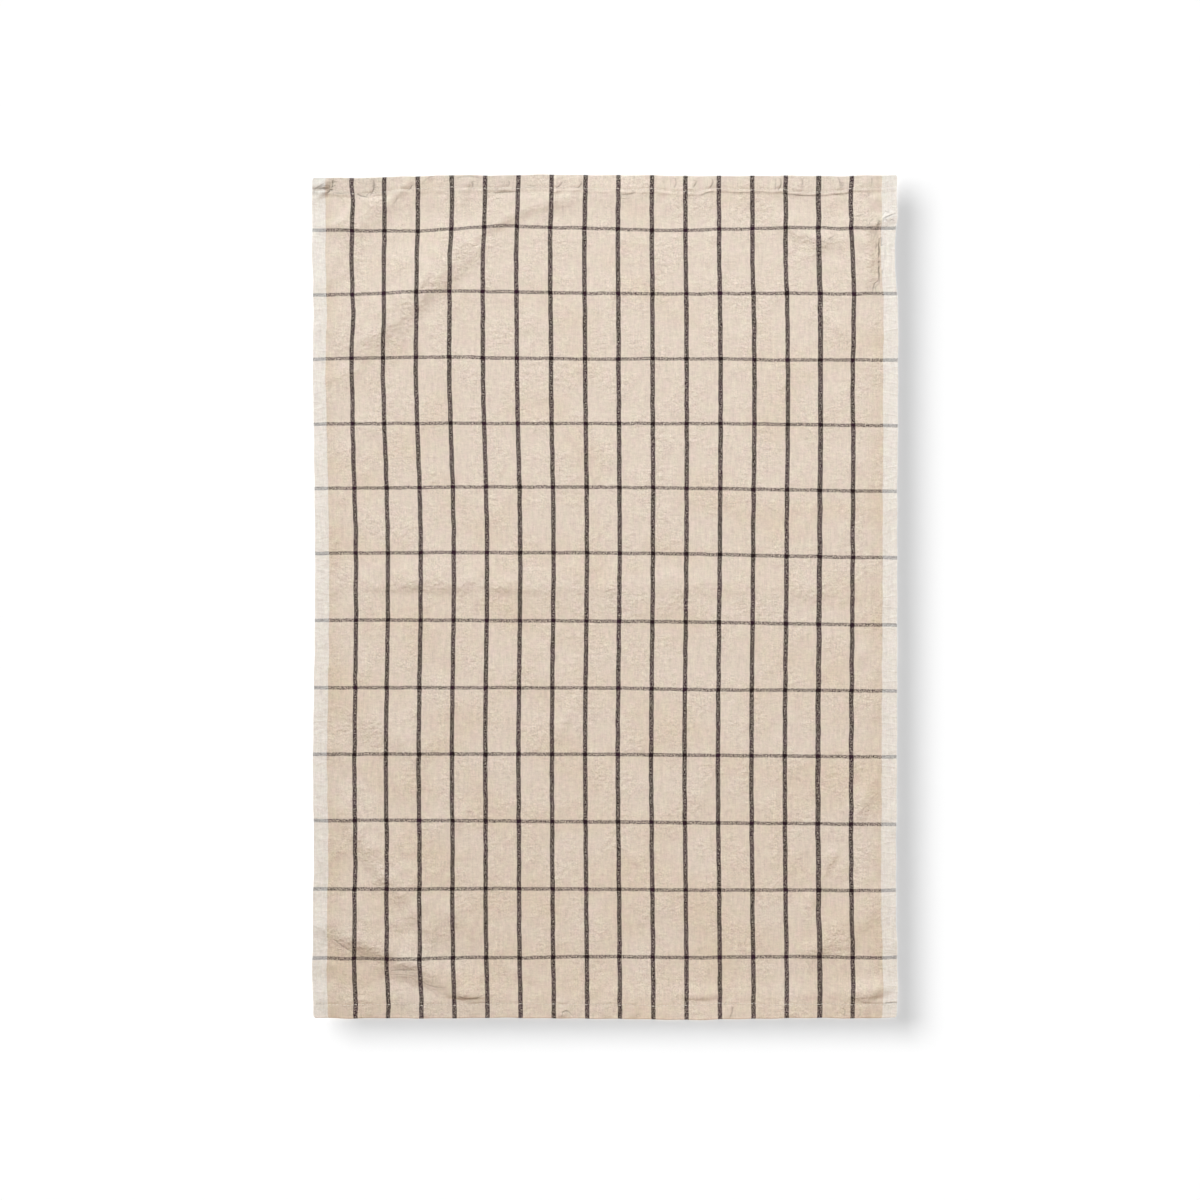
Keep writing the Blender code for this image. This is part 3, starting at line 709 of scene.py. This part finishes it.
def lay_cloth():
    mesh = flat_grid()
    points = point_array(mesh)
    across = points[:, 0] * WIDTH
    number = np.rint((points[:, 1] + 0.5) * (len(rows) - 1)).astype(int)
    cut = np.array([row.cut for row in rows])[number]
    along = np.array([row.y for row in rows])[number]
    layer = np.array([row.layer for row in rows])[number]
    under = (layer < 2) * (1 - np.abs(along) / HALF_LENGTH) * HALF_LENGTH / HEM_DEPTH
    along = along - np.sign(along) * under * turned_deeper(across, along)
    x, y = lie_in_plane(across, along)
    z = cloth_height(across, along, layer)
    mesh.vertices.foreach_set("co", np.column_stack([x, y, z]).ravel())
    corner_of = np.empty(len(mesh.loops), dtype=int)
    mesh.loops.foreach_get("vertex_index", corner_of)
    line_aside, line_sharp = pressed_lines(across, along)
    maps = {
        "cut_cloth": (across, cut),
        "crumple_and_painted_hem_shade": (creased(across, along), painted_hem_shade(across, along, cut)),
        "lines": (line_aside, line_sharp * (layer > ON_THE_FACE)),
    }
    for name, pair in maps.items():
        uv = mesh.uv_layers.new(name=name)
        uv.data.foreach_set("uv", np.column_stack(pair)[corner_of].ravel())
    mesh.update()
    return mesh


def new_piece(name, mesh):
    piece = bpy.data.objects.new(name, mesh)
    bpy.context.scene.collection.objects.link(piece)
    return piece


def thicken(piece, thickness):
    """Solidify a sheet evenly about its middle, apply it, and keep its rim sharp."""
    layer = piece.modifiers.new("layer", "SOLIDIFY")
    layer.thickness = thickness
    layer.offset = 0.0
    bpy.context.view_layer.update()
    done = piece.evaluated_get(bpy.context.evaluated_depsgraph_get())
    thin, piece.data = piece.data, bpy.data.meshes.new_from_object(done)
    piece.modifiers.clear()
    bpy.data.meshes.remove(thin)
    piece.data.name = piece.name
    piece.data.shade_smooth()
    piece.data.set_sharp_from_angle(angle=math.radians(50))


cloth = new_piece("cloth", lay_cloth())
thicken(cloth, CLOTH)
print("the cloth has", len(cloth.data.polygons), "faces")

# %% [markdown]
# ## Stitches
#
# A lockstitch looks the same from both sides: short grains of thread with a small gap between them, where
# the thread dives through the cloth. One grain is a small stretched ball with few faces. It is repeated
# along each hem, a little out of line here and there, and follows the hem's own height. The copies are
# joined into one mesh for each hem. Blender closes a ball's poles in no fixed order, so the points and faces
# are sorted at the end, and each run of the script gives the same mesh.

# %% Places of the stitches
STITCH_PITCH = 0.0031
STITCH_LENGTH = 0.0025
THREAD = 0.00048            # thickness of the sewing thread
SEAM_MARGIN = 0.002         # a seam stops this far short of a selvedge
STITCH_SEED = 3


def stitch_places(end):
    """Where each stitch of a hem is on the straight towel; end is 1 at the top and -1 at the bottom."""
    count = int((WIDTH - 2 * SEAM_MARGIN) / STITCH_PITCH)
    start = -count * STITCH_PITCH / 2
    draw = random.Random(STITCH_SEED + end)
    places = []
    for number in range(count):
        drift = 0.0003 * math.sin(number * 0.21) + draw.gauss(0, 0.00008)
        places.append((start + (number + 0.5) * STITCH_PITCH, end * (HALF_LENGTH - SEAM_IN + drift)))
    return np.array(places)


print(len(stitch_places(1)), "stitches in each seam")

# %% The rows of stitches
READING_LINE = Vector((1.0, 0.137, 0.0271))     # it slants, so that no two points are level along it


def add_grains(bm, x, y, z):
    """One grain of thread at each point, laid along the line of points."""
    for number in range(len(x)):
        after, before = min(number + 1, len(x) - 1), max(number - 1, 0)
        angle = math.atan2(y[after] - y[before], x[after] - x[before])
        grain = bmesh.ops.create_uvsphere(bm, u_segments=6, v_segments=5, radius=0.5)["verts"]
        bmesh.ops.rotate(bm, verts=grain, cent=(0, 0, 0), matrix=Matrix.Rotation(math.pi / 2, 3, "Y"))
        bmesh.ops.scale(bm, verts=grain, vec=(STITCH_LENGTH, THREAD, THREAD))
        bmesh.ops.rotate(bm, verts=grain, cent=(0, 0, 0), matrix=Matrix.Rotation(angle, 3, "Z"))
        bmesh.ops.translate(bm, verts=grain, vec=(x[number], y[number], z[number]))


def put_in_order(bm):
    """Number points and faces by where they are."""
    bm.verts.sort(key=lambda vert: vert.co.dot(READING_LINE))
    bm.faces.sort(key=lambda face: face.calc_center_median().dot(READING_LINE))


def sew_hem(name, end):
    """Both faces of one row of lockstitch: the face shows on top of the hem, the other under it."""
    places = stitch_places(end)
    across, along = places[:, 0], places[:, 1]
    along = along - end * turned_deeper(across, along)
    x, y = lie_in_plane(across, along)
    face = cloth_height(across, along, np.full(len(x), 2.0)) + CLOTH / 2
    bm = bmesh.new()
    add_grains(bm, x, y, face + 0.10 * THREAD)
    add_grains(bm, x, y, np.full(len(x), 0.35 * THREAD))
    put_in_order(bm)
    mesh = bpy.data.meshes.new(name)
    bm.to_mesh(mesh)
    bm.free()
    mesh.shade_smooth()
    return new_piece(name, mesh)


seams = [sew_hem("top_hem_stitches", 1), sew_hem("bottom_hem_stitches", -1)]
for seam in seams:
    print(seam.name, "has", len(seam.data.polygons), "faces")

# %% [markdown]
# ## Writing shaders as sums
#
# A weave is arithmetic: count threads, ask which one is on top, mix two colours. Shader nodes can do it,
# but a long chain of Math nodes is hard to read. This class wraps one output socket and makes Python's own
# operators add the nodes, so that the weave below reads as the formula that it is.

# %% A socket that can be added and multiplied
class Wire:
    """An output socket that Python's operators can work on. Each operation adds one Math node."""

    def __init__(self, sheet, socket):
        self.sheet = sheet
        self.socket = socket

    def maths(self, operation, *others):
        return self.sheet.node("ShaderNodeMath", {"operation": operation}, dict(enumerate((self, *others))))

    def clamped(self):
        return self.maths("MAXIMUM", 0.0).maths("MINIMUM", 1.0)

    def beside(self, name):
        """Another output of the same node."""
        return Wire(self.sheet, self.socket.node.outputs[name])

    def __add__(self, other):
        return self.maths("ADD", other)

    def __sub__(self, other):
        return self.maths("SUBTRACT", other)

    def __rsub__(self, other):
        return self.sheet.number(other).maths("SUBTRACT", self)

    def __mul__(self, other):
        return self.maths("MULTIPLY", other)

    def __truediv__(self, other):
        return self.maths("DIVIDE", other)

    def __lt__(self, other):
        return self.maths("LESS_THAN", other)

    def __gt__(self, other):
        return self.maths("GREATER_THAN", other)

    __radd__ = __add__
    __rmul__ = __mul__


print("a wire can be added, taken away, multiplied, divided and compared")

# %% A recipe for one material
class Recipe:
    """One material, built node by node."""

    def __init__(self, name):
        self.material = bpy.data.materials.new(name)
        self.material.use_nodes = True
        self.tree = self.material.node_tree
        self.shader = self.tree.nodes["Principled BSDF"]

    def node(self, kind, settings=None, inputs=None, output=0):
        """Add a node: its settings first, then its sockets by name or number, and return one output."""
        made = self.tree.nodes.new(kind)
        for key, value in (settings or {}).items():
            setattr(made, key, value)
        for key, value in (inputs or {}).items():
            self.plug(made.inputs[key], value)
        return Wire(self, made.outputs[output])

    def plug(self, socket, value):
        if isinstance(value, Wire):
            self.tree.links.new(value.socket, socket)
        else:
            socket.default_value = value

    def number(self, value):
        return self.node("ShaderNodeMath", {"operation": "ADD"}, {0: value, 1: 0.0})

    def uv_pair(self, name):
        """The two numbers that a UV map keeps for each point."""
        first = self.node("ShaderNodeSeparateXYZ", None, {0: self.node("ShaderNodeUVMap", {"uv_map": name})})
        return first, first.beside("Y")

    def blend(self, share, first, second):
        """Mix two colours: all first at 0, all second at 1."""
        inputs = {"Factor": share, 6: first, 7: second}
        return self.node("ShaderNodeMix", {"data_type": "RGBA"}, inputs, output=2)

    def cloudy(self, x, y, across, along, detail=2.0, rough=0.5):
        """Noise over the cloth, its patches about across by along in size; 0.5 on average."""
        place = self.node("ShaderNodeCombineXYZ", None, {"X": x / across, "Y": y / along})
        inputs = {"Vector": place, "Scale": 1.0, "Detail": detail, "Roughness": rough}
        return self.node("ShaderNodeTexNoise", {"noise_dimensions": "2D"}, inputs)

    def finish(self, **sockets):
        for name, value in sockets.items():
            self.plug(self.shader.inputs[name.replace("_", " ")], value)
        return self.material


print("ready to mix materials")

# %% [markdown]
# ## The check
#
# The towel is a plain weave: each thread across goes over one lengthwise thread and under the next. Its
# check comes from dyed yarn and not from print. Every 28 mm there are seven dark threads in the warp, and
# every 56 mm six in the weft. Where a dark thread dives under a pale one, a pale speck shows, so a stripe
# is never solid, but a crossing of two stripes is. The warp stripes are woven closer and show fewer specks.
# The selvedges have a whiter warp and no stripe of their own, though the weft stripes run over them.
#
# On a plain weave the sine of the place across and the sine of the place along, multiplied, are high where
# the warp is on top and low where the weft is. That is all that the shader needs to know of a thread.

# %% Threads, stripes and selvedges
WARP_THREAD = 0.54          # millimetres from thread to thread; the whole weave counts in millimetres
WEFT_THREAD = 0.50
THREAD_WANDER = 1.0         # how far threads wander off a straight line
WARP_STRIPES_APART = 28.0
WARP_STRIPE_AT = -15.1      # the middle of one of them, from the towel's middle
WARP_STRIPE = 3.8
WEFT_STRIPES_APART = 55.9
WEFT_STRIPE_AT = -24.1
WEFT_STRIPE = 3.0
SELVEDGE = 12.0
SELVEDGE_AT = HALF_WIDTH * 1000 - SELVEDGE
SELVEDGE_NEAR = 16          # how far from its inner edge a selvedge makes itself felt

Weave = namedtuple("Weave", "u v selvedge near_selvedge warp_round weft_round")


def stripes(place, thread, first, apart, width):
    """1 on the threads of dark stripes and 0 elsewhere; whole threads only, as on a loom."""
    thread_middle = ((place / thread).maths("FLOOR") + 0.5) * thread
    return (thread_middle - first).maths("PINGPONG", apart / 2) < width / 2


def lay_threads(recipe):
    """Where a point is in the weave: its place, whether it is in a selvedge, how far round its threads."""
    across, along = recipe.uv_pair("cut_cloth")
    u, v = across * 1000, along * 1000
    wander_across = recipe.cloudy(u, v, 17.0, 13.0) - 0.5
    wander_along = recipe.cloudy(v, u, 19.0, 12.0) - 0.5
    u, v = u + THREAD_WANDER * wander_across, v + THREAD_WANDER * wander_along
    selvedge = u.maths("ABSOLUTE") > SELVEDGE_AT
    near_selvedge = (1 - (u.maths("ABSOLUTE") - SELVEDGE_AT).maths("ABSOLUTE") / SELVEDGE_NEAR).clamped()
    warp_round = (u * (math.pi / WARP_THREAD)).maths("SINE")
    weft_round = (v * (math.pi / WEFT_THREAD)).maths("SINE")
    return Weave(u, v, selvedge, near_selvedge, warp_round, weft_round)


print("the warp has", round(WIDTH * 1000 / WARP_THREAD), "threads")

# %% [markdown]
# ## Yarn colours
#
# Three yarns are mixed, each uneven in its own way. The beige one is more tanned in large soft patches
# and beside the selvedges, and it is made warmer towards the lower hem, which is painted warm light. The
# dark one is nearly black, and faded to plum in places.
# The white one is in the selvedges' warp alone. Which yarn shows is settled thread by thread, with some
# chance in it, and a stripe's own threads lean to the top.

# %% The colour of the thread on top
BEIGE = (0.660, 0.558, 0.462, 1)
TAN = (0.630, 0.512, 0.392, 1)
WHITE = (0.782, 0.752, 0.700, 1)
PLUM = (0.030, 0.012, 0.020, 1)
BLACKENED = (0.018, 0.010, 0.010, 1)
CREAM = (0.72, 0.66, 0.57, 1)       # of the sewing thread


def patches(cloud, level):
    """Patches with soft edges, where a noise is above a level."""
    return ((cloud - level) * 5).clamped()


def yarn_colour(recipe, weave):
    u, v, selvedge = weave.u, weave.v, weave.selvedge
    dark_warp = stripes(u, WARP_THREAD, WARP_STRIPE_AT, WARP_STRIPES_APART, WARP_STRIPE) * (1 - selvedge)
    dark_weft = stripes(v, WEFT_THREAD, WEFT_STRIPE_AT, WEFT_STRIPES_APART, WEFT_STRIPE)

    uneven = (recipe.cloudy(u, v, 1.2, 1.1, detail=2.0, rough=0.7) - 0.5) * (1 - 0.7 * selvedge)
    lean = 0.49 * dark_warp - 0.11 * dark_weft + 0.12 * selvedge
    warp_over = weave.warp_round * weave.weft_round * 0.8 + lean + 2.8 * uneven
    show_warp = (warp_over * 2.5 + 0.5).clamped()

    washed = recipe.cloudy(u, v, 60.0, 45.0, detail=3.0)
    # tanned in soft patches and beside the selvedges, and painted warm light towards the lower hem
    tanned_and_painted_warm_light = ((washed - 0.42) * 2.0 + 0.5 * weave.near_selvedge - v / 1300).clamped()
    beige = recipe.blend(tanned_and_painted_warm_light, BEIGE, TAN)
    dark = recipe.blend(patches(recipe.cloudy(v, u, 24.0, 15.0), 0.40), BLACKENED, PLUM)
    warp = recipe.blend(dark_warp, recipe.blend(selvedge, beige, WHITE), dark)
    weft = recipe.blend(dark_weft, beige, dark)
    return recipe.blend(show_warp, weft, warp)


print("tanned yarn is", round(100 * (1 - TAN[2] / BEIGE[2])), "percent less blue")

# %% [markdown]
# ## Wear, painted shade and wrinkles
#
# Washed cotton is never even in tone. Slubs are thick places in single threads, streaks run along the warp,
# and grain and mottle are small specks and larger ones. Each changes the brightness a little. Painted shade
# darkens the low left corner, the pressed lines and most of the hems' faces, and painted light brightens a
# few stretches of the hems and the bottom hem's folded edge. The finest relief goes into the bump: a crepe
# all over, wrinkles where the cloth is crumpled, short pleats across the selvedges, and the round of the
# threads.

# %% Brightness and hue
PAINTED_CORNER_SHADE = 6e-7         # painted shade: darker by this for each millimetre left and each millimetre down from the middle


def worn_colour(recipe, weave, patchy, pressed_dent_and_shade, hem_painted_shade):
    """The colour of the yarns with all that makes them brighter, duller or redder, painted shade and painted
    light among it.
    """
    u, v = weave.u, weave.v
    slubs_across = recipe.cloudy(u, v, 7.0, 0.8, detail=1.0) - 0.5
    slubs_along = recipe.cloudy(u, v, 0.8, 10.0, detail=1.0) - 0.5
    streaks = recipe.cloudy(u, v, 2.8, 16.0, detail=2.0, rough=0.6) - 0.5
    grain = (recipe.cloudy(v, u, 1.3, 1.3, detail=2.0, rough=0.6) - 0.5) * (0.45 + 0.9 * patchy)
    grain = grain * (1 - 0.75 * weave.selvedge)
    mottle = recipe.cloudy(u, v, 3.4, 3.0, detail=3.0) - 0.5
    value = 1 + 0.14 * slubs_across + 0.16 * slubs_along + 0.17 * streaks + 0.42 * grain + 0.19 * mottle
    # painted shade along the pressed lines and on most of the hems' faces; painted light on a few stretches
    # of the hems and on the bottom hem's folded edge
    value = value - 0.34 * pressed_dent_and_shade - 0.018 * weave.near_selvedge - hem_painted_shade
    # painted shade, darker towards the low left corner
    value = value + PAINTED_CORNER_SHADE * u.maths("MINIMUM", 0.0) * (0 - v).maths("MAXIMUM", 0.0)
    large, small = recipe.cloudy(v, u, 9.0, 7.0) - 0.5, recipe.cloudy(v, u, 1.9, 1.7) - 0.5
    inputs = {"Hue": 0.5 + 0.056 * large + 0.02 * small, "Value": value, "Color": yarn_colour(recipe, weave)}
    return recipe.node("ShaderNodeHueSaturation", None, inputs)


print("the low left corner is", round(PAINTED_CORNER_SHADE * HALF_WIDTH * HALF_LENGTH * 1e8), "percent darker")

# %% The finest relief


def thin_lines(cloud, sharpness):
    """Thin lines along which a noise crosses its middle."""
    return (1 - (cloud - 0.5).maths("ABSOLUTE") * sharpness).clamped()


def fine_relief(recipe, weave, patchy, pressed_dent_and_shade, crumpled):
    """The height of what is finer than the mesh, in millimetres."""
    u, v, selvedge = weave.u, weave.v, weave.selvedge
    crepe = recipe.cloudy(u, v, 4.6, 3.8, detail=3.0, rough=0.55)
    wrinkle = thin_lines(recipe.cloudy(u, v, 7.0, 6.0, detail=2.0), 7)
    pleats = thin_lines(recipe.cloudy(u, v, 30.0, 9.0, detail=0.0), 12) * selvedge
    threads = (weave.warp_round * weave.weft_round).maths("ABSOLUTE")
    height = (0.25 + 0.55 * patchy + 0.35 * crumpled) * crepe
    height = height + wrinkle * (0.10 * patchy + 0.16 * crumpled)
    return height * (1 - 0.5 * selvedge) + 0.03 * threads + 0.10 * pleats - 0.30 * pressed_dent_and_shade


print("a cell of the mesh is", round(ACROSS_CELL * 1000, 1), "mm wide, so what is finer is left to the bump")

# %% The woven cotton and the sewing thread
LINE_HALF_WIDTH = 1.0       # millimetres from a pressed line's middle to where its dent and its painted shade end


def woven_cotton():
    recipe = Recipe("woven_cotton_check")
    weave = lay_threads(recipe)
    crumpled, hem_painted_shade = recipe.uv_pair("crumple_and_painted_hem_shade")
    line_aside, line_sharp = recipe.uv_pair("lines")
    wobble = 0.9 * (recipe.cloudy(weave.u, weave.v, 4.2, 4.2, detail=1.0) - 0.5)
    pressed_dent_and_shade = (1 - (line_aside + wobble).maths("ABSOLUTE") / LINE_HALF_WIDTH).clamped() * line_sharp
    patchy = patches(recipe.cloudy(weave.v, weave.u, 34.0, 28.0), 0.42)
    colour = worn_colour(recipe, weave, patchy, pressed_dent_and_shade, hem_painted_shade)
    height = fine_relief(recipe, weave, patchy, pressed_dent_and_shade, crumpled)
    bump = recipe.node("ShaderNodeBump", None, {"Height": height, "Distance": 0.001, "Strength": 1.0})
    return recipe.finish(Base_Color=colour, Normal=bump, Roughness=0.9, Specular_IOR_Level=0.1)


def thread_cotton():
    recipe = Recipe("pale_sewing_thread")
    return recipe.finish(Base_Color=CREAM, Roughness=0.8)


cotton = woven_cotton()
cloth.data.materials.append(cotton)
thread = thread_cotton()
for seam in seams:
    seam.data.materials.append(thread)
print(len(cotton.node_tree.nodes), "nodes weave the cloth")

# %% [markdown]
# ## Tying the pieces to the model
#
# The cloth stands for the solid towel, which is hidden, and the stitches ride with it.

# %% Ride and replace
for piece in [cloth] + seams:
    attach(piece, "root")
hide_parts("towel")
print("the cloth and", len(seams), "seams ride on the packed model")

# %% [markdown]
# ## Table, lights and camera
#
# The towel is seen from straight above on a white ground. Three lights work on it alone. A very wide sun
# overhead fills it evenly. A round lamp beyond its top end makes it darker towards its lower hem. A
# narrower sun, beyond the top left corner and rather low, rakes over the cloth, so that each crease has a
# light and a dark flank.
#
# A millimetre of cloth casts hardly any shadow. Photographers lay such things on glass, a hand above the
# ground, and get a wide soft shadow beside them. Here a flag does it: a card as large as the towel, over
# it, which the camera cannot see. The ground has a fill and a lamp of its own, and the flag stops only that
# lamp.

# %% Floor and flag
FLAG_HEIGHT = 0.040
FLOOR_SIDE = 16
FLOOR_DROP = 0.0002         # the floor is just under the cloth, so that the two don't flicker
GROUND_WHITE = (0.85, 0.85, 0.85, 1)


def flat_card(name, width, length, height):
    mesh = bpy.data.meshes.new(name)
    bm = bmesh.new()
    bmesh.ops.create_grid(bm, x_segments=1, y_segments=1, size=0.5)
    bmesh.ops.scale(bm, verts=bm.verts, vec=(width, length, 1))
    bmesh.ops.translate(bm, verts=bm.verts, vec=(0, 0, height))
    bm.to_mesh(mesh)
    bm.free()
    return new_piece(name, mesh)


floor = flat_card("floor", FLOOR_SIDE, FLOOR_SIDE, -FLOOR_DROP)
floor_paint = Recipe("white_ground")
floor.data.materials.append(floor_paint.finish(Base_Color=GROUND_WHITE, Roughness=0.95))

flag = flat_card("flag", WIDTH, LENGTH, FLAG_HEIGHT)
flag.visible_camera = False
flag.visible_diffuse = False
flag.visible_glossy = False
flag.visible_transmission = False
print("the flag is", round(FLAG_HEIGHT * 1000), "mm over the floor")

# %% Lights
WARM = (1.15, 0.98, 0.87)
COOL = (0.87, 1.02, 1.13)
NEUTRAL = (1, 1, 1)


def aim(piece, place, target):
    piece.location = place
    piece.rotation_euler = (Vector(target) - Vector(place)).to_track_quat("-Z", "Y").to_euler()


def lamp(name, kind, power, colour, place):
    """A lamp at a place, aimed at the middle of the towel."""
    light = bpy.data.lights.new(name, kind)
    light.energy = power
    light.color = colour
    made = new_piece(name, light)
    aim(made, place, (0, 0, 0))
    return made


def sun(name, power, colour, place, spread):
    """A sun; the wider it spreads, in degrees, the softer its shadows."""
    made = lamp(name, "SUN", power, colour, place)
    made.data.angle = math.radians(spread)
    return made


fill = sun("fill", 1.65, WARM, (0, 0, 3), 150)
top_light = lamp("top_light", "AREA", 21.3, COOL, (0.15, 1.6, 1.6))
top_light.data.shape = "DISK"
top_light.data.size = 1.0
rake = sun("rake", 1.94, COOL, (-0.74, 1.53, 1.0), 9)
ground_fill = sun("ground_fill", 2.24, NEUTRAL, (0, 0, 3), 150)
ground_lamp = sun("ground_lamp", 1.8, NEUTRAL, (-0.0225, 0.0135, FLAG_HEIGHT), 36)
print("five lights; the highest stands", max(lit.location.z for lit in (fill, top_light, rake)), "m up")

# %% Which light falls on what


def collection_of(name, pieces, link_state="INCLUDE"):
    """A collection for light linking, outside the scene's own collections."""
    group = bpy.data.collections.new(name)
    for piece in pieces:
        group.objects.link(piece)
    for entry in group.collection_objects:
        entry.light_linking.link_state = link_state
    return group


not_the_flag = collection_of("all_but_the_flag", [flag], "EXCLUDE")
nothing_laid = collection_of("all_but_flag_and_towel", [flag, cloth] + seams, "EXCLUDE")
only_the_towel = collection_of("towel_only", [cloth] + seams)
only_the_ground = collection_of("ground_only", [floor])
for light in (fill, top_light, rake):
    light.light_linking.receiver_collection = only_the_towel
    light.light_linking.blocker_collection = not_the_flag
ground_fill.light_linking.receiver_collection = only_the_ground
ground_fill.light_linking.blocker_collection = nothing_laid
ground_lamp.light_linking.receiver_collection = only_the_ground
ground_lamp.light_linking.blocker_collection = collection_of("flag_only", [flag])

world = bpy.data.worlds.new("dark_room")
world.use_nodes = True
world.node_tree.nodes["Background"].inputs["Strength"].default_value = 0.0
bpy.context.scene.world = world

# %% The camera
FRAME_SIDE = 1.0121         # how much of the ground the picture shows
FRAME_MIDDLE = (-0.0042, -0.0025)
LENS = 100
SENSOR = 36

camera = bpy.data.cameras.new("camera")
camera.lens = LENS
camera.sensor_width = SENSOR
eye = new_piece("camera", camera)
eye.location = (*FRAME_MIDDLE, FRAME_SIDE * LENS / SENSOR)
bpy.context.scene.camera = eye
bpy.context.scene.view_settings.view_transform = "Standard"
print("the camera is", round(eye.location.z, 2), "m over the table")
